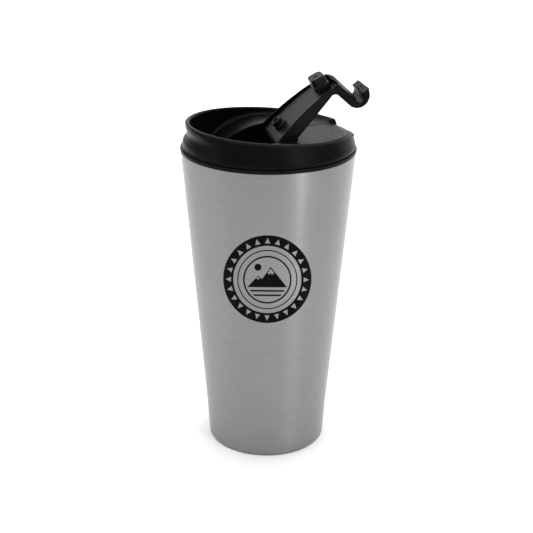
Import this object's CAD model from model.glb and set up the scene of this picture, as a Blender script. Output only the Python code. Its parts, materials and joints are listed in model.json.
# %% [markdown]
# # An insulated travel mug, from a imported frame
# The mug is a tapered steel cup with a black plastic lid. A lever on the lid flips over and plugs
# the drinking hole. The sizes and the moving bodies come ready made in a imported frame, and this
# lesson dresses that frame: it replaces plain solids with finished meshes and gives each one a
# material. Everything is in metres, with the mug's axis on Z and the drinking side towards -X.

import json
import math

import bmesh
import bpy
import numpy as np
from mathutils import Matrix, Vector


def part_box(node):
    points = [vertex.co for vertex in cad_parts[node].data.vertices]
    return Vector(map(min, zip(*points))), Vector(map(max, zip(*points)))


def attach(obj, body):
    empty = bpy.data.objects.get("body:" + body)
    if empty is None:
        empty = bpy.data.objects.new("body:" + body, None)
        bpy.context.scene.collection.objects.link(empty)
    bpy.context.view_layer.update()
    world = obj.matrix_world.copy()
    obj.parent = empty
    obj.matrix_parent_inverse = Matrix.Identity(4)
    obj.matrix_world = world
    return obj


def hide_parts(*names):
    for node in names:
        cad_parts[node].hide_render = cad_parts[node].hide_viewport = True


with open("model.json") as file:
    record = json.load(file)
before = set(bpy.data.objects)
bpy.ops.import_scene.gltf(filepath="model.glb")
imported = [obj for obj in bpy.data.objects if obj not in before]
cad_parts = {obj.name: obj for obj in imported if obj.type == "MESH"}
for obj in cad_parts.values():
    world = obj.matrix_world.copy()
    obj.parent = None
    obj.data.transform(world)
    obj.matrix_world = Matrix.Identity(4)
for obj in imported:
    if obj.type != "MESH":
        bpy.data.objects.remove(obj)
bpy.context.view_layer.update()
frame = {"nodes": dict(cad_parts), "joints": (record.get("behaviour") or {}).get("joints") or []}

# %% [markdown]
# ## The camera
# A product picture is taken from a little above, with a long lens, so that the mug's sides stay
# nearly parallel. The camera's place and its three axes are worked out from a few angles, because
# a matrix built from axes has no gimbal surprises and the slight roll is easy to add.

# %% Camera
CAMERA_DISTANCE = 0.5515
CAMERA_HEIGHT = 0.31495
CAMERA_SIDE = math.radians(12.3)  # how far round from -Y towards -X it stands
CAMERA_AIM = math.radians(12.25)  # it looks a hair past the mug's axis
CAMERA_DROP = math.radians(21.79)
CAMERA_ROLL = math.radians(0.467)
CAMERA_LENS = 77.55


def look(side, drop, roll):
    """The camera's right, up and backward directions."""
    level = math.cos(drop)
    ahead = np.array([math.sin(side) * level, math.cos(side) * level, -math.sin(drop)])
    right = np.array([math.cos(side), -math.sin(side), 0])
    up = np.cross(right, ahead)
    rolled_right = math.cos(roll) * right + math.sin(roll) * up
    rolled_up = math.cos(roll) * up - math.sin(roll) * right
    return rolled_right, rolled_up, -ahead


camera = bpy.data.objects.new("camera", bpy.data.cameras.new("camera"))
camera.data.lens = CAMERA_LENS
camera.data.sensor_width = 36
camera.data.clip_start = 0.01
pose = np.identity(4)
pose[:3, :3] = np.column_stack(look(CAMERA_AIM, CAMERA_DROP, CAMERA_ROLL))
pose[:3, 3] = [
    -CAMERA_DISTANCE * math.sin(CAMERA_SIDE),
    -CAMERA_DISTANCE * math.cos(CAMERA_SIDE),
    CAMERA_HEIGHT,
]
camera.matrix_world = pose.T
bpy.context.scene.collection.objects.link(camera)
bpy.context.scene.camera = camera
print("camera at", [round(v, 4) for v in pose[:3, 3]])

# %% [markdown]
# ## Shader maths as plain Python
# A procedural material is a small sum made of nodes. Wiring every Math node by hand hides the sum,
# so a Wire wraps one socket and overloads the operators: `1 - mask * 0.3` adds the two Math nodes
# and returns a new Wire. A Recipe holds one material and adds any other node through one method.

# %% Wires and recipes
class Wire:
    """A number travelling between shader nodes."""

    def __init__(self, recipe, socket):
        self.recipe = recipe
        self.socket = socket

    def maths(self, operation, *values):
        return self.recipe.node("ShaderNodeMath", {"operation": operation}, dict(enumerate(values)))

    def __add__(self, other):
        return self.maths("ADD", self, other)

    def __sub__(self, other):
        return self.maths("SUBTRACT", self, other)

    def __rsub__(self, other):
        return self.maths("SUBTRACT", other, self)

    def __mul__(self, other):
        return self.maths("MULTIPLY", self, other)

    __radd__ = __add__
    __rmul__ = __mul__


class Recipe:
    """One material: a Principled shader, and a method that adds nodes in front of it."""

    def __init__(self, name, **fixed):
        self.material = bpy.data.materials.new(name)
        self.material.use_nodes = True
        self.tree = self.material.node_tree
        self.shader = self.tree.nodes["Principled BSDF"]
        for socket, value in fixed.items():
            self.shader.inputs[socket.replace("_", " ")].default_value = value

    def node(self, kind, settings=None, inputs=None, output=0):
        """Adds a node, sets it up, fills its sockets and returns one output as a Wire."""
        node = self.tree.nodes.new(kind)
        for setting, value in (settings or {}).items():
            if setting == "stops":
                self.stops(node.color_ramp, value)
            else:
                setattr(node, setting, value)
        for socket, value in (inputs or {}).items():
            if isinstance(value, Wire):
                self.tree.links.new(value.socket, node.inputs[socket])
            else:
                node.inputs[socket].default_value = value
        return Wire(self, node.outputs[output])

    def stops(self, ramp, stops):
        for index, (place, shade) in enumerate(stops):
            element = ramp.elements[index] if index < 2 else ramp.elements.new(place)
            element.position = place
            element.color = (shade, shade, shade, 1)

    def place(self):
        """The point on the object, in metres, in the mug's frame."""
        return self.node("ShaderNodeTexCoord", output="Object")

    def noise(self, at, scale, detail=3, roughness=0.5):
        inputs = {"Vector": at, "Scale": scale, "Detail": detail, "Roughness": roughness}
        return self.node("ShaderNodeTexNoise", inputs=inputs)

    def blend(self, mask, low, high):
        """A colour between low and high."""
        settings = {"data_type": "RGBA"}
        return self.node("ShaderNodeMix", settings, {"Factor": mask, 6: low, 7: high}, output=2)

    def bump(self, height, strength, distance):
        inputs = {"Height": height, "Strength": strength, "Distance": distance}
        return self.node("ShaderNodeBump", inputs=inputs)

    def feed(self, **wires):
        """Links wires to the shader's sockets."""
        for socket, wire in wires.items():
            self.tree.links.new(wire.socket, self.shader.inputs[socket.replace("_", " ")])
        return self.material


def grey(value, warmth=0.0):
    """An opaque colour that is nearly grey."""
    return (value * (1 + warmth), value, value * (1 - warmth), 1)


print("shader helpers ready")

# %% [markdown]
# ## Turned parts
# The steel cup and the liner are round, so each is a profile spun about Z. A Screw modifier could
# spin it, but points worked out in code keep the seam closed and the rings even. A list of
# corners, each with its own fillet, describes the profile; a rounded corner catches a thin
# highlight, which is what tells the eye that a part is real and not a diagram.

# %% Lathe
MM = 0.001


def rounded(corners, steps=6):
    """Turns (radius, height, fillet) corners into a smooth profile."""
    profile = []
    for index, (r, z, fillet) in enumerate(corners):
        here = np.array([r, z], float)
        before = np.array(corners[index - 1][:2], float) - here
        after = np.array(corners[(index + 1) % len(corners)][:2], float) - here
        if fillet == 0:
            profile.append(here)
            continue
        before /= np.linalg.norm(before)
        after /= np.linalg.norm(after)
        half = math.acos(np.clip(before @ after, -1, 1)) / 2
        middle = here + (before + after) / np.linalg.norm(before + after) * fillet / math.sin(half)
        start = here + before * fillet / math.tan(half) - middle
        end = here + after * fillet / math.tan(half) - middle
        turn = math.atan2(start[0] * end[1] - start[1] * end[0], start @ end)
        for step in range(steps + 1):
            a = turn * step / steps
            c, s = math.cos(a), math.sin(a)
            profile.append(middle + [c * start[0] - s * start[1], s * start[0] + c * start[1]])
    return np.array(profile)


def make_mesh(name, points, faces, material, normals=None):
    """An object from points in millimetres, smooth shaded."""
    mesh = bpy.data.meshes.new(name)
    mesh.from_pydata((np.asarray(points) * MM).tolist(), [], faces)
    mesh.polygons.foreach_set("use_smooth", [True] * len(mesh.polygons))
    if normals is not None:
        mesh.normals_split_custom_set_from_vertices(normals.tolist())
    mesh.materials.append(material)
    piece = bpy.data.objects.new(name, mesh)
    bpy.context.scene.collection.objects.link(piece)
    print(name, "has", len(faces), "faces")
    return piece


def lathe(name, corners, material, segments=192):
    """Spins a closed profile about Z; corners run anticlockwise."""
    profile = rounded(corners)
    angles = np.arange(segments) * 2 * math.pi / segments
    rows = len(profile)
    points = [(r * math.cos(a), r * math.sin(a), z) for a in angles for r, z in profile]
    faces = []
    for turn in range(segments):
        here, there = turn * rows, (turn + 1) % segments * rows
        for row in range(rows):
            after = (row + 1) % rows
            faces.append((here + row, there + row, there + after, here + after))
    return make_mesh(name, points, faces, material)


def keep_edges(piece, degrees=35):
    """Splits the shading only where two faces meet at a sharp angle."""
    mesh = piece.data
    work = bmesh.new()
    work.from_mesh(mesh)
    bmesh.ops.remove_doubles(work, verts=work.verts, dist=1e-7)
    bmesh.ops.recalc_face_normals(work, faces=work.faces)
    for edge in work.edges:
        edge.smooth = not (edge.is_manifold and edge.calc_face_angle(0) > math.radians(degrees))
    work.to_mesh(mesh)
    work.free()


def ring_width(node, low, high):
    """The largest radius of a node between two heights, in millimetres."""
    points = np.array([v.co for v in frame["nodes"][node].data.vertices]) / MM
    band = (points[:, 2] >= low) & (points[:, 2] <= high)
    return float(np.hypot(points[band, 0], points[band, 1]).max())


shell_low, shell_high = [corner.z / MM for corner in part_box("outer_shell")]
top_r = ring_width("outer_shell", shell_high - 0.5, shell_high)
base_r = ring_width("outer_shell", shell_low, shell_low + 1.5)
knee_z = 19.3
knee_r = ring_width("outer_shell", knee_z - 0.5, knee_z + 0.5)
sheet = 0.6
turned_in = 3.4
print(f"steel: {2 * top_r:.1f} mm across the top and {2 * base_r:.1f} mm across the base")
print(f"steel height: {shell_high:.1f} mm")

# %% [markdown]
# ## Brushed steel
# The sheet is brushed while it spins, so its scratches run round the cup. Painting them as an
# image would need a seam; noise read from a stretched point does not. The point's direction round
# the axis is stretched little and its height a lot, which draws out thin rings. The rings tilt the
# surface a little and change its roughness, and the shader's own anisotropy smears each light
# along the axis, as real brushing does.

# %% Steel
def steel_point(recipe, turns, rows):
    """A point for ring-shaped noise: slow round the axis, fast along it."""
    at = recipe.place()
    flat = recipe.node("ShaderNodeVectorMath", {"operation": "MULTIPLY"}, {0: at, 1: (1, 1, 0)})
    round_axis = recipe.node("ShaderNodeVectorMath", {"operation": "NORMALIZE"}, {0: flat})
    spread = {0: round_axis, 1: (turns, turns, 0)}
    turned = recipe.node("ShaderNodeVectorMath", {"operation": "MULTIPLY"}, spread)
    stretch = {0: at, 1: (0, 0, rows), 2: turned}
    return recipe.node("ShaderNodeVectorMath", {"operation": "MULTIPLY_ADD"}, stretch)


def brushed_steel():
    recipe = Recipe("brushed_steel", Metallic=1.0, Anisotropic=0.75, Anisotropic_Rotation=0.25)
    fine = recipe.noise(steel_point(recipe, 5, 5200), 1, 2)
    coarse = recipe.noise(steel_point(recipe, 2.2, 900), 1, 3)
    cloud = recipe.noise(recipe.place(), 45, 3)
    grain = fine * 0.6 + coarse * 0.4
    tone = recipe.blend(grain * 0.8 + cloud * 0.2, grey(0.18, 0.009), grey(0.31, 0.013))
    gloss = 0.27 + grain * 0.12 + cloud * 0.04
    scratches = recipe.bump(grain, 0.10, 0.00012)
    return recipe.feed(Base_Color=tone, Roughness=gloss, Normal=scratches)


steel = brushed_steel()
print("steel nodes:", len(steel.node_tree.nodes))

# %% [markdown]
# ## The steel cup
# One sheet of steel runs from a turned-in edge at the ground, round a small corner, past a slight
# knee and up the straight taper to the lid. Both faces of the sheet are in the profile, so the
# cup is a real shell and its turned-in edge shows from below.

# %% Steel cup
shell = lathe(
    "steel_shell",
    [
        (base_r - turned_in, shell_low, 0.25),
        (base_r, shell_low, 1.2),
        (knee_r, knee_z, 60),
        (top_r, shell_high, 0.2),
        (top_r - sheet, shell_high, 0.2),
        (knee_r - sheet, knee_z, 60),
        (base_r - sheet, shell_low + sheet, 0.5),
        (base_r - turned_in, shell_low + sheet, 0.25),
    ],
    steel,
    segments=256,
)
keep_edges(shell)
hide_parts("outer_shell")
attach(shell, "cup")

# %% [markdown]
# ## Moulded black plastics
# Every black part is injection moulded, and up close each has a faint orange-peel gloss and a
# trace of handling. One function mixes them all: a base grey, a roughness, and a texture height,
# with slow noise for the way the gloss drifts and fine noise for the moulded skin. The silicone
# parts use the same recipe, rougher and a little lighter.

# %% Plastics
def plastic(name, shade, rough, skin_height=0.02, reflect=0.06, rub=0.5):
    recipe = Recipe(name, Specular_IOR_Level=reflect)
    at = recipe.place()
    skin_noise = recipe.noise(at, 2600, 2)
    drift = recipe.noise(at, 60, 4, 0.6)
    worn = recipe.node("ShaderNodeValToRGB", {"stops": [(0.52, 0), (0.72, 1)]}, {0: drift})
    tone = recipe.blend(worn * rub, grey(shade, -0.03), grey(shade * 1.7, -0.03))
    gloss = rough + drift * 0.12 + skin_noise * 0.04 - 0.08
    return recipe.feed(
        Base_Color=tone, Roughness=gloss, Normal=recipe.bump(skin_noise, skin_height, 0.00008)
    )


lid_plastic = plastic("lid_plastic", 0.0024, 0.30)
lever_plastic = plastic("lever_plastic", 0.0026, 0.33)
panel_plastic = plastic("panel_plastic", 0.005, 0.42, 0.06, 0.12)
liner_plastic = plastic("liner_plastic", 0.0032, 0.30)
base_plastic = plastic("base_plastic", 0.010, 0.5, 0.08)
rubber = plastic("silicone", 0.005, 0.42, 0.05, 0.12)
print("plastics made:", len(bpy.data.materials))

# %% [markdown]
# ## The liner and its flange
# The inner cup is plastic. Only its flange shows from outside, as a thin black ring between steel
# and lid, and its inside shows when the lid is off. It is turned like the shell, with a small
# round on the flange's edge for a hairline of light.

# %% Liner
liner_low, liner_high = [corner.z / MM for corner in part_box("inner_liner")]
flange_r = ring_width("inner_liner", liner_high - 2, liner_high) - 0.03
mouth_r = 40.18
land_z = 142.5
glue_gap = 0.05
floor_thickness = 2.2
liner = lathe(
    "inner_cup",
    [
        (0.01, liner_low, 0),
        (27.8, liner_low, 3),
        (38.96, land_z - 3, 2),
        (41.56, land_z, 1),
        (top_r - sheet - glue_gap, shell_high, 0),
        (top_r - sheet - glue_gap, shell_high + glue_gap, 0),
        (flange_r, shell_high + glue_gap, 0.35),
        (flange_r, liner_high, 0.35),
        (mouth_r, liner_high, 0.8),
        (mouth_r, land_z, 1.5),
        (37.16, land_z - 3, 2),
        (26.0, liner_low + floor_thickness, 5),
        (0.01, liner_low + floor_thickness, 0),
    ],
    liner_plastic,
)
keep_edges(liner)
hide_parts("inner_liner")
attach(liner, "cup")

# %% [markdown]
# ## Solids from distances
# The lid and the lever are moulded: thick, filleted everywhere, and cut by hollows at odd angles.
# Booleans and bevels could build them, but a bevel fails where a cut meets a curved wall. So these
# parts are written as a distance: a formula that is negative inside the plastic and positive
# outside. Two formulas join or cut each other with a fillet of any radius. The surface where the
# distance is zero is then meshed with one point in each grid cell that it crosses.

# %% Distance tools
def both(a, b, fillet):
    """Where both solids are, with a rounded edge."""
    corner = np.hypot(np.maximum(a + fillet, 0), np.maximum(b + fillet, 0))
    return np.minimum(np.maximum(a, b), -fillet) + corner


def join(a, b, fillet):
    """Either solid, with a filleted corner between them."""
    return -both(-a, -b, fillet)


def carve(solid, tool, fillet):
    """The solid without the tool, with a rounded edge."""
    return both(solid, -tool, fillet)


def slope(field, points, reach=0.02):
    """The distance at each point and the direction in which it grows."""
    x, y, z = points.T
    grow = [
        field(x + reach, y, z) - field(x - reach, y, z),
        field(x, y + reach, z) - field(x, y - reach, z),
        field(x, y, z + reach) - field(x, y, z - reach),
    ]
    return field(x, y, z), np.stack(grow, 1) / (2 * reach)


def fill_touching(inside):
    """Fills the places where two parts of a shape would meet along a single grid edge."""
    for _ in range(4):
        for first, second in ((0, 1), (0, 2), (1, 2)):
            solid = np.moveaxis(inside, (first, second), (0, 1))
            corners = [solid[:-1, :-1], solid[1:, 1:], solid[1:, :-1], solid[:-1, 1:]]
            one_way = corners[0] & corners[1] & ~corners[2] & ~corners[3]
            other_way = corners[2] & corners[3] & ~corners[0] & ~corners[1]
            touching = one_way | other_way
            for corner in corners:
                corner |= touching


def mould(name, field, low, high, step, material, to_world=None):
    """Meshes the surface of a distance field between two corners, in millimetres."""
    lines = [np.arange(a - step, b + 2 * step, step) for a, b in zip(low, high)]
    # Which corners of the grid are in the plastic, and which cells the surface crosses.
    grid = np.broadcast_to(
        field(lines[0][:, None, None], lines[1][None, :, None], lines[2][None, None, :]),
        [len(line) for line in lines],
    )
    inside = grid < 0
    fill_touching(inside)
    cells = [len(line) - 1 for line in lines]
    full = np.zeros(cells, int)
    for i in (0, 1):
        for j in (0, 1):
            for k in (0, 1):
                full += inside[i:cells[0] + i, j:cells[1] + j, k:cells[2] + k]
    crossed = (full > 0) & (full < 8)
    number = np.full(cells, -1)
    number[crossed] = np.arange(crossed.sum())
    where = np.argwhere(crossed)
    points = np.stack([lines[axis][where[:, axis]] for axis in range(3)], 1) + step / 2
    # One point for each crossed cell starts at its middle and walks onto the surface, in moves
    # of at most half a cell, so that it stays beside its neighbours. The floor of 0.05 under the
    # squared slope keeps a flat spot from throwing its point away.
    for _ in range(4):
        distance, grow = slope(field, points)
        push = grow * (distance / np.maximum((grow**2).sum(1), 0.05))[:, None]
        length = np.linalg.norm(push, axis=1, keepdims=True)
        points = points - push * np.minimum(1, 0.5 * step / np.maximum(length, 1e-9))
    # One face for each grid edge that the surface cuts, joining the four cells round it.
    faces = []
    for axis in range(3):
        order = (axis, (axis + 1) % 3, (axis + 2) % 3)
        solid, index = inside.transpose(order), number.transpose(order)
        near, far = solid[:-1, 1:-1, 1:-1], solid[1:, 1:-1, 1:-1]
        ring = [index[:, :-1, :-1], index[:, 1:, :-1], index[:, 1:, 1:], index[:, :-1, 1:]]
        outward = np.stack([part[near & ~far] for part in ring], 1)
        inward = np.stack([part[far & ~near] for part in ring[::-1]], 1)
        faces.extend(outward.tolist() + inward.tolist())
    normals = slope(field, points)[1]
    normals /= np.maximum(np.linalg.norm(normals, axis=1, keepdims=True), 1e-9)
    if to_world is not None:
        points, normals = to_world(points), to_world(normals) - to_world(np.zeros((1, 3)))
    return make_mesh(name, points, faces, material, normals)


print("distance tools ready")

# %% [markdown]
# ## The lid
# The lid is a wall that leans in from a round skirt to an oval rim, and the rim slopes down
# towards the back. Inside is a bowl whose deck falls to the drinking hole, with a channel for the
# lever. Outside, the lip is hollowed for the mouth, and at the back the rim stops so that the
# lever can lean out. Each of these is a line or two of distance, with its main sizes named first.

# %% Lid
SKIRT_R, SKIRT_LOW = 43.05, 159.2
LEAN_START_Z = 161.2
RIM_Z = 169.9
RIM_TILT = math.tan(math.radians(3.5))
DECK_Z = 166.0
FLOOR_Z = 155.0
BOWL_R = 38.48
CHANNEL_X, CHANNEL_HALF_WIDTHS = (-32.3, -0.3), (12.4, 18.8)
CHANNEL_BACK_X = 10.7
LIP_HALF_LENGTH, LIP_TOP_Z, LIP_SAG = 30, 171.3, 0.0047
TROUGH_R, TROUGH_Z, TROUGH_REACH, TROUGH_HALF_HEIGHT = 44.6, 166.9, 4.4, 3.9
NECK_R, NECK_INSIDE_R, NECK_LOW = 39.68, 37.28, 145
GROOVE_R, GROOVE_LOW, GROOVE_HIGH = 38.68, 149, 152.2
TAB_HALF_WIDTH, TAB_REACH, TAB_LOW, TAB_HIGH = 4, 44.45, 162.9, 165.7
BACK_GAP_HALF = math.radians(20.5)
SIP_X, SIP_HALF_LENGTH, SIP_HALF_WIDTH = -30.87, 5.3, 6.5
VENT_X, VENT_R, VENT_WELL_R, VENT_BOSS_R = -1.43, 1, 5.65, 7.05
PIN_BORE_R, PIN_HALF_LENGTH = 1.55, 21.05
lever_joint = next(joint for joint in frame["joints"] if joint["type"] == "hinge")
hinge_x, hinge_z = lever_joint["pos_m"][0] / MM, lever_joint["pos_m"][2] / MM


def rim_height(x):
    return RIM_Z - RIM_TILT * x


def oval(x, y, half_x, half_y):
    """Nearly the distance to an upright oval wall."""
    return (np.hypot(x / half_x, y / half_y) - 1) * np.minimum(half_x, half_y)


def outer_wall(x, y, z):
    rise = np.clip((z - LEAN_START_Z) / (rim_height(x) - LEAN_START_Z), 0, 1.2)
    return oval(x, y, SKIRT_R - 1.9 * rise, SKIRT_R - 5.2 * rise)


def bowl_wall(x, y, z):
    rise = np.clip((z - 156) / (rim_height(x) - 156), 0, 1.3)
    return oval(x, y, BOWL_R + 0.42 * rise, BOWL_R - 2.68 * rise)


def deck_height(x):
    fall = 52 - np.sqrt(52**2 - np.clip(6 - x, 0, 51) ** 2)
    return np.maximum(DECK_Z - fall, FLOOR_Z)


def lever_channel(x, y, z):
    half_width = np.interp(x, CHANNEL_X, CHANNEL_HALF_WIDTHS)
    plan = both(np.abs(y) - half_width, x - CHANNEL_BACK_X, 1.5)
    return both(both(plan, FLOOR_Z - z, 0.8), np.hypot(x, y) - BOWL_R, 1)


def lip_hollow(x, y, z):
    """The hollow under the drinking lip, ending in a slanted step on each side."""
    radius = np.hypot(x, y)
    along = np.abs(np.arctan2(y, -x)) * SKIRT_R
    top = z - LIP_TOP_Z + LIP_SAG * along**2
    side = (along - LIP_HALF_LENGTH + 0.38 * (z - 165)) / 1.07
    ends = both(top, side, 1.5)
    trough = np.hypot((radius - TROUGH_R) / TROUGH_REACH, (z - TROUGH_Z) / TROUGH_HALF_HEIGHT)
    trough = (trough - 1) * TROUGH_HALF_HEIGHT
    shallow = both(-0.4 - outer_wall(x, y, z), 160.2 - z, 0.3)
    return both(join(trough, shallow, 0.8), ends, 0.3)


def lid_distance(x, y, z):
    radius = np.hypot(x, y)
    top = (z - rim_height(x)) * 0.998
    body = both(both(outer_wall(x, y, z), top, 1.25), SKIRT_LOW - z, 0.35)
    neck = both(both(radius - NECK_R, NECK_LOW - z, 0.6), z - 161, 0.5)
    tab = both(np.abs(y) - TAB_HALF_WIDTH, x - TAB_REACH, 1)
    tab = both(tab, both(z - TAB_HIGH, TAB_LOW - z, 0.7), 0.6)
    body = join(join(body, neck, 0.3), np.maximum(tab, 38 - x), 0.8)
    back = (np.abs(np.arctan2(y, x)) - BACK_GAP_HALF) * radius
    shoulder = np.minimum(DECK_Z, 166.6 - 0.38 * (radius - 35)) - z
    body = carve(body, both(back, shoulder, 0.4), 0.6)
    body = carve(body, both(bowl_wall(x, y, z), deck_height(x) - z, 3.0), 1.1)
    body = carve(body, lever_channel(x, y, z), 0.45)
    body = carve(body, lip_hollow(x, y, z), 0.5)
    well = np.hypot(x - VENT_X, y)
    boss = both(well - VENT_BOSS_R, 151.2 - z, 0.4)
    hollow = carve(both(radius - NECK_INSIDE_R, z - 153, 0.6), boss, 0.5)
    body = carve(body, hollow, 0.4)
    sip_hole = both(np.abs(x - SIP_X) - SIP_HALF_LENGTH, np.abs(y) - SIP_HALF_WIDTH, 2)
    body = carve(body, sip_hole, 0.5)
    body = carve(body, both(well - VENT_WELL_R, 152.7 - z, 0.4), 0.5)
    body = carve(body, well - VENT_R, 0.2)
    groove = both(GROOVE_R - radius, both(z - GROOVE_HIGH, GROOVE_LOW - z, 0.2), 0.2)
    body = carve(body, groove, 0.2)
    bore = np.hypot(x - hinge_x, z - hinge_z) - PIN_BORE_R
    bore = np.maximum(bore, np.abs(y) - PIN_HALF_LENGTH)
    return carve(body, bore, 0.2)


lid = mould("lid_moulding", lid_distance, (-44, -44, 145), (45, 44, 173), 0.54, lid_plastic)
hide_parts("lid_body")
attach(lid, "lid")

# %% [markdown]
# ## The flip lever
# The lever is easiest to think of lying flat: s runs from the hinge to the far end, n is height
# above the hinge line. In that view it is a plate with two tall edges, a riser that drops from its
# far end, and a hook that curls up again. The outline is drawn with a few corners and arcs, given
# a width that narrows towards the hook, and the space between the flanges is carved out. At the
# end the mesh is turned up to the angle at which the open lever leans on the lid.

# %% Lever outline
LEVER_LEAN = math.radians(47)
LEVER_L = 36.7
HOOK_S, HOOK_N, HOOK_R = 42.9, -12.3, 6.1
SLOT_S, SLOT_N, SLOT_R = 42.6, -13.3, 2.7
HOOK_TIP = [(49.3, -13.7), (45.3, -13.1)]
BARREL_R = 2.8
FLANGE_THICKNESS = 0.9
RISER_HEIGHTS = [-19.4, -15.4, -4.8, -1.2, 0.5]
RISER_HALF_WIDTHS = [9.3, 9.5, 11.4, 12.3, 19]
CROWN_S, CROWN_SAG = 42.1, 0.012


def arc(centre_s, centre_n, radius, start, end, steps):
    angles = np.radians(np.linspace(start, end, steps + 1))
    return [(centre_s + radius * math.cos(a), centre_n + radius * math.sin(a)) for a in angles]


def flange_top(s):
    """Height of the flanges' edge, a long curve that falls towards the riser."""
    return 5.6 - 4.11 * (np.maximum(s - 4, 0) / (LEVER_L - 4)) ** 2


def panel_top(s):
    return flange_top(s) - 2.1 + 1.2 * s / 34


def outline_distance(outline, s, n):
    """Signed distance to a closed outline, from the nearest of its sides."""
    s, n = np.broadcast_arrays(s, n)
    nearest, inside = np.full(s.shape, 1e9), np.zeros(s.shape, bool)
    for (s0, n0), (s1, n1) in zip(outline, outline[1:] + outline[:1]):
        ds, dn = s1 - s0, n1 - n0
        along = np.clip(((s - s0) * ds + (n - n0) * dn) / (ds**2 + dn**2), 0, 1)
        nearest = np.minimum(nearest, (s - s0 - along * ds) ** 2 + (n - n0 - along * dn) ** 2)
        if dn:
            inside ^= ((n0 <= n) != (n1 <= n)) & (s < s0 + (n - n0) * ds / dn)
    return np.where(inside, -1, 1) * np.sqrt(nearest)


lever_outline = (
    [(0.6, 5.6), (0, 3), (0, -1.2), (LEVER_L - 3, -1.2)]
    + arc(LEVER_L - 3, -4.2, 3, 90, 0, 8)
    + arc(HOOK_S, HOOK_N, HOOK_R, 180, 336, 28)
    + HOOK_TIP
    + arc(SLOT_S, SLOT_N, SLOT_R, 0, -180, 18)
    + arc(LEVER_L + 0.7, flange_top(39.9) - 2.5, 2.5, 0, 90, 8)
    + [(s, float(flange_top(s))) for s in np.linspace(36, 4, 16)]
)
print("lever outline has", len(lever_outline), "corners")

# %% [markdown]
# ## The lever as a solid
# The outline gives the lever's side view, and a width that changes along it gives the rest. The
# riser's outer face is crowned, the space between the flanges is a recess with the panel's seat in
# it, and a pit and a slit on the hook are the marks that a mould leaves. Cutting these by
# distance, in the flat, keeps every fillet even before the part is turned up.

# %% Lever
def lever_half_width(s):
    return 18.4 - 0.1604 * s


def lever_distance(s, y, n):
    side = outline_distance(lever_outline, s, n)
    side = join(side, np.hypot(s, n) - BARREL_R, 0.6)
    riser = np.interp(n, RISER_HEIGHTS, RISER_HALF_WIDTHS)
    half_width = np.minimum(lever_half_width(s), riser + 5 * np.maximum(34 - s, 0))
    body = both(side, np.abs(y) - half_width, 0.45)
    crown = both(s - CROWN_S + CROWN_SAG * y**2, np.abs(y) - np.minimum(riser, 11.9), 0.6)
    crown = both(both(crown, np.abs(n + 6.3) - 6.9, 0.5), 38 - s, 0.1)
    body = join(body, crown, 0.8)
    depth = panel_top(s) - 1.05 * np.clip((34.2 - s) / 0.3, 0, 1)
    recess = both(np.abs(y) - lever_half_width(s) + FLANGE_THICKNESS, depth - n, 0.3)
    body = carve(body, both(recess, s - 40.3, 0.5), 0.3)
    pocket = both(np.abs(y) - 10.2, both(-3.2 - n, np.abs(s - 39.1) - 1.2, 0.3), 0.4)
    body = carve(body, pocket, 0.3)
    pit = both(np.hypot(s - 47.3, y) - 0.65, -15.2 - n, 0.1)
    slit = both(both(np.abs(s - 45.9) - 0.3, np.abs(y) - 2.2, 0.1), -14.4 - n, 0.1)
    body = carve(carve(body, pit, 0.15), slit, 0.1)
    return carve(body, np.hypot(s, n) - PIN_BORE_R, 0.15)


def lean_up(points):
    """Turns points from the flat lever into the mug's frame."""
    s, y, n = points.T
    c, d = math.cos(LEVER_LEAN), math.sin(LEVER_LEAN)
    return np.stack([hinge_x + s * c - n * d, y, hinge_z + s * d + n * c], 1)


lever_low, lever_high = (-5, -18.6, -19), (50, 18.6, 6)
lever = mould(
    "lever_moulding", lever_distance, lever_low, lever_high, 0.33, lever_plastic, lean_up
)
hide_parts("lever_arm")
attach(lever, "lever")

# %% [markdown]
# ## The infill panel and the two plugs
# Between the flanges lies a thin panel, and two silicone plugs grow from it: an oval one for the
# drinking hole and a small ring-shaped one for the vent. Soft parts have softer edges, so their
# fillets are larger for their size, and each stands on a wider foot. They are meshed from
# distances too, in the flat lever's directions, so that they lean up together with it.

# %% Panel and plugs
def panel_distance(s, y, n):
    face = both(np.abs(y) - lever_half_width(s) + 1.8, n - panel_top(s), 0.2)
    slab = both(face, panel_top(s) - 1 - n, 0.1)
    return both(slab, np.abs(s - 16.9) - 17.1, 0.3)


PLUG_TILT = math.radians(21)
PLUG_S = 36.1
PLUG_HALF_LENGTH, PLUG_HALF_WIDTH, PLUG_CORNER_R = 3.65, 5.65, 2.4
VENT_PLUG_S = 7


def sip_plug_distance(s, y, n):
    along = (s - PLUG_S) * math.cos(PLUG_TILT) - (n - 7.7) * math.sin(PLUG_TILT)
    up = (s - PLUG_S) * math.sin(PLUG_TILT) + (n - 7.65) * math.cos(PLUG_TILT)
    stem = both(np.abs(along) - PLUG_HALF_LENGTH, np.abs(y) - PLUG_HALF_WIDTH, PLUG_CORNER_R)
    plug = join(both(stem, up, 0.6), both(stem - 0.7, up + 3.9, 0.4), 0.5)
    dimple = np.sqrt((along + 0.3) ** 2 + y**2 + (up - 0.5) ** 2) - 1.25
    plug = carve(plug, dimple, 0.2)
    return both(plug, panel_top(s) + 0.05 - n, 0.1)


def vent_plug_distance(s, y, n):
    radius = np.hypot(s - VENT_PLUG_S, y)
    stem = both(radius - 2.75, n - 7.9, 0.5)
    foot = both(radius - 3.3, n - 4.9, 0.4)
    cup = both(radius - 1.55, 6.3 - n, 0.3)
    return both(carve(join(stem, foot, 0.5), cup, 0.35), panel_top(s) + 0.05 - n, 0.1)


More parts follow.
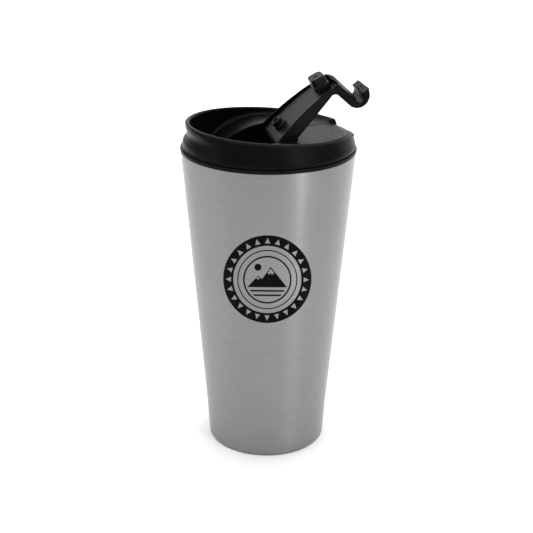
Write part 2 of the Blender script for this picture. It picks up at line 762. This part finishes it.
panel = mould(
    "lever_infill", panel_distance, (-1, -18, -1), (35, 18, 5), 0.33, panel_plastic, lean_up
)
sip_plug = mould(
    "sip_stopper", sip_plug_distance, (31, -7, -1), (42, 7, 10), 0.25, rubber, lean_up
)
vent_plug = mould(
    "vent_stopper", vent_plug_distance, (3, -4, 2), (11, 4, 9), 0.2, rubber, lean_up
)
for piece, node, finish in (
    (panel, "lever_panel", "panel_plastic"),
    (sip_plug, "sip_plug", "plug_rubber"),
    (vent_plug, "vent_plug", "plug_rubber"),
):
    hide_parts(node)
    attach(piece, "lever")

# %% [markdown]
# ## The parts that stay as they are
# The base plate, foot pad, seals, lid cover and hinge pin are already the right shape in the
# frame. They only need a finish, so a material goes into each one's slots. The pin is drawn wire:
# a hard, slightly streaked metal.

# %% Frame parts
def drawn_wire():
    recipe = Recipe("drawn_wire", Metallic=1.0)
    streaks = recipe.node(
        "ShaderNodeVectorMath", {"operation": "MULTIPLY"}, {0: recipe.place(), 1: (9000, 300, 9000)}
    )
    grain = recipe.noise(streaks, 1, 2)
    return recipe.feed(
        Base_Color=recipe.blend(grain, grey(0.38), grey(0.55)),
        Roughness=0.22 + grain * 0.2,
        Normal=recipe.bump(grain, 0.1, 0.00005),
    )


for node, material in (
    ("base_plate", base_plastic),
    ("foot_pad", rubber),
    ("collar_seal", rubber),
    ("lid_cover", liner_plastic),
    ("lid_gasket", rubber),
    ("hinge_pin", drawn_wire()),
):
    part = frame["nodes"][node]
    part.data.materials.clear()
    part.data.materials.append(material)
    print(node, "gets", material.name)

# %% [markdown]
# ## The badge
# A round badge is printed on the steel. It is drawn flat, as closed outlines whose nesting makes
# the holes: a border with a ring of little peaks, two thin circles, and a mountain view. An image
# could carry the same drawing, but outlines stay sharp at any distance and need no file.

# %% Badge outlines
BADGE_R, BADGE_HOLE_R = 21.6, 16.6
BADGE_TURN = math.radians(180 + 77.7)
PAD_SLANT = math.radians(20)
INK_LIFT = 0.05
STRIP = 0.8


def circle(radius, a=0.0, b=0.0, steps=96):
    angles = np.linspace(0, 2 * math.pi, steps, endpoint=False)
    return [(a + radius * math.cos(t), b + radius * math.sin(t)) for t in angles]


def little_peak(turn, radius, width, height):
    """A small triangle that points outwards, somewhere round the border."""
    corners = [(-width / 2, radius), (width / 2, radius), (0, radius + height)]
    c, s = math.cos(turn), math.sin(turn)
    return [(a * c - b * s, a * s + b * c) for a, b in corners]


outlines = [circle(BADGE_R, steps=160), circle(BADGE_HOLE_R, steps=160)]
outlines += [circle(radius) for radius in (14.6, 14.1, 11.75, 11.0)]
outlines += [little_peak(math.radians(15 * i), 17.7, 2.6, 2.7) for i in range(24)]
outlines += [
    [(-9.6, -3.6), (-4.4, 2.2), (-2.6, 0.4), (1.6, 6.4), (9.6, -3.6)],
    [(0.1, 3.6), (1.6, 5.6), (3.4, 3.4), (2.3, 2.6), (1.5, 3.5), (0.9, 2.5)],
    [(-5.4, 0.6), (-4.4, 1.7), (-3.5, 0.8), (-4.3, 0.2)],
    [(-8.4, -5.0), (8.4, -5.0), (8.0, -5.8), (-8.0, -5.8)],
    [(-7.0, -7.2), (7.0, -7.2), (6.4, -8.0), (-6.4, -8.0)],
    circle(1.7, -4.6, 6.2, 40),
]
print("badge outlines:", len(outlines))

# %% [markdown]
# ## Printing the badge
# A flat curve fills nested outlines by itself, and the fill is cut into narrow upright strips so
# that it can bend. It is then pressed on as a soft printing pad would do it: every point moves
# along one slanting direction until it meets the steel, a hair's breadth outside it. Wrapping the
# drawing round the cup would keep its widths along the steel, but a pressed circle still looks
# like a circle from where the pad came.

# %% Badge
def flat_print(name, outlines):
    """A flat mesh that fills the outlines, cut into upright strips."""
    drawing = bpy.data.curves.new(name, "CURVE")
    drawing.dimensions = "2D"
    drawing.fill_mode = "BOTH"
    for outline in outlines:
        spline = drawing.splines.new("POLY")
        spline.points.add(len(outline) - 1)
        for point, (a, b) in zip(spline.points, outline):
            point.co = (a, b, 0, 1)
        spline.use_cyclic_u = True
    sheet_object = bpy.data.objects.new(name, drawing)
    bpy.context.scene.collection.objects.link(sheet_object)
    bpy.context.view_layer.update()
    work = bmesh.new()
    work.from_mesh(sheet_object.to_mesh())
    bpy.data.objects.remove(sheet_object)
    for a in np.arange(-BADGE_R, BADGE_R, STRIP):
        everything = work.verts[:] + work.edges[:] + work.faces[:]
        bmesh.ops.bisect_plane(work, geom=everything, plane_co=(a, 0, 0), plane_no=(1, 0, 0))
    bmesh.ops.remove_doubles(work, verts=work.verts, dist=1e-5)
    work.verts.index_update()
    work.faces.ensure_lookup_table()
    return work


def shell_radius(z):
    return knee_r + (top_r - knee_r) * (z - knee_z) / (shell_high - knee_z)


def press_on(a, b):
    """Moves flat points along the pad's direction until they meet the steel."""
    near, far = np.full(a.shape, -20.0), np.full(a.shape, 30.0)
    for _ in range(40):
        depth = (near + far) / 2
        drawn = pad_place[:, None] + pad_across[:, None] * a + pad_up[:, None] * b
        x, y, z = drawn + pad_push[:, None] * depth
        outside = np.hypot(x, y) > shell_radius(z) + INK_LIFT
        near, far = np.where(outside, depth, near), np.where(outside, far, depth)
    return np.stack([x, y, z], 1)


badge_low, badge_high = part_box("badge_print")
badge_z = (badge_low.z + badge_high.z) / 2 / MM
facing = np.array([math.cos(BADGE_TURN), math.sin(BADGE_TURN), 0])
pad_across = np.array([-facing[1], facing[0], 0])
pad_push = -facing * math.cos(PAD_SLANT) - np.array([0, 0, math.sin(PAD_SLANT)])
pad_up = np.cross(pad_across, pad_push)
pad_place = facing * shell_radius(badge_z) + np.array([0, 0, badge_z])
ink = plastic("badge_ink", 0.0022, 0.5, 0.02, 0.04, 0.2)
work = flat_print("badge", outlines)
flat = np.array([vert.co[:2] for vert in work.verts])
points = press_on(flat[:, 0], flat[:, 1])
# The steel's taper tips its face a little downwards.
normals = np.column_stack([points[:, :2], np.full(len(points), -3.0)])
normals /= np.linalg.norm(normals, axis=1)[:, None]
faces = [[vert.index for vert in face.verts] for face in work.faces]
if work.faces[0].normal.z <= 0:
    faces = [face[::-1] for face in faces]
work.free()
badge = make_mesh("badge_ink", points, faces, ink, normals)
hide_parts("badge_print")
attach(badge, "cup")

# %% [markdown]
# ## The studio
# The mug stands on a wide pale floor in soft light from all sides. A large lamp overhead makes the
# floor bright, a tall lamp on the right draws the streak down the steel, and the sky fills the
# rest. Lamps this large give shadows with no edge.

# %% Floor and lights
def pale_floor():
    recipe = Recipe("pale_floor", Specular_IOR_Level=0.2)
    speckle = recipe.noise(recipe.place(), 900, 2)
    tone = recipe.blend(speckle, grey(0.90), grey(0.94))
    return recipe.feed(Base_Color=tone, Roughness=0.7 + speckle * 0.1)


REACH = 4000
floor_corners = [(-REACH, -REACH, 0), (REACH, -REACH, 0), (REACH, REACH, 0), (-REACH, REACH, 0)]
floor = make_mesh("floor", floor_corners, [(0, 1, 2, 3)], pale_floor())


def lamp(name, place, target, width, height, power):
    """A soft rectangular lamp that faces the target."""
    light = bpy.data.lights.new(name, "AREA")
    light.shape = "RECTANGLE"
    light.size = width
    light.size_y = height
    light.energy = power
    holder = bpy.data.objects.new(name, light)
    bpy.context.scene.collection.objects.link(holder)
    back = np.array(place, float) - target
    back /= np.linalg.norm(back)
    right = np.cross((0, 0, 1), back)
    if np.linalg.norm(right) < 1e-6:
        right = np.array([1.0, 0, 0])
    right /= np.linalg.norm(right)
    stand = np.identity(4)
    stand[:3, :3] = np.column_stack([right, np.cross(back, right), back])
    stand[:3, 3] = place
    holder.matrix_world = stand.T
    print(name, "gives", power, "W")


middle = np.array([0, 0, 0.09])
lamp("overhead", (0.2, 0.6, 2.4), (0.2, 0.6, 0), 5.0, 5.0, 130)
lamp("back wall", (0.75, 3.4, 1.5), middle, 6.0, 2.6, 40)
lamp("left wall", (-1.5, 0.1, 0.7), middle, 1.3, 1.2, 3)
lamp("right wall", (1.5, 0.9, 0.7), middle, 1.3, 1.2, 5)
lamp("streak", (0.56, -0.95, 0.5), middle, 0.16, 1.0, 3.2)

world = bpy.data.worlds.new("soft_sky")
world.use_nodes = True
world.node_tree.nodes["Background"].inputs["Color"].default_value = grey(1)
world.node_tree.nodes["Background"].inputs["Strength"].default_value = 0.42
bpy.context.scene.world = world
bpy.context.scene.view_settings.view_transform = "Standard"
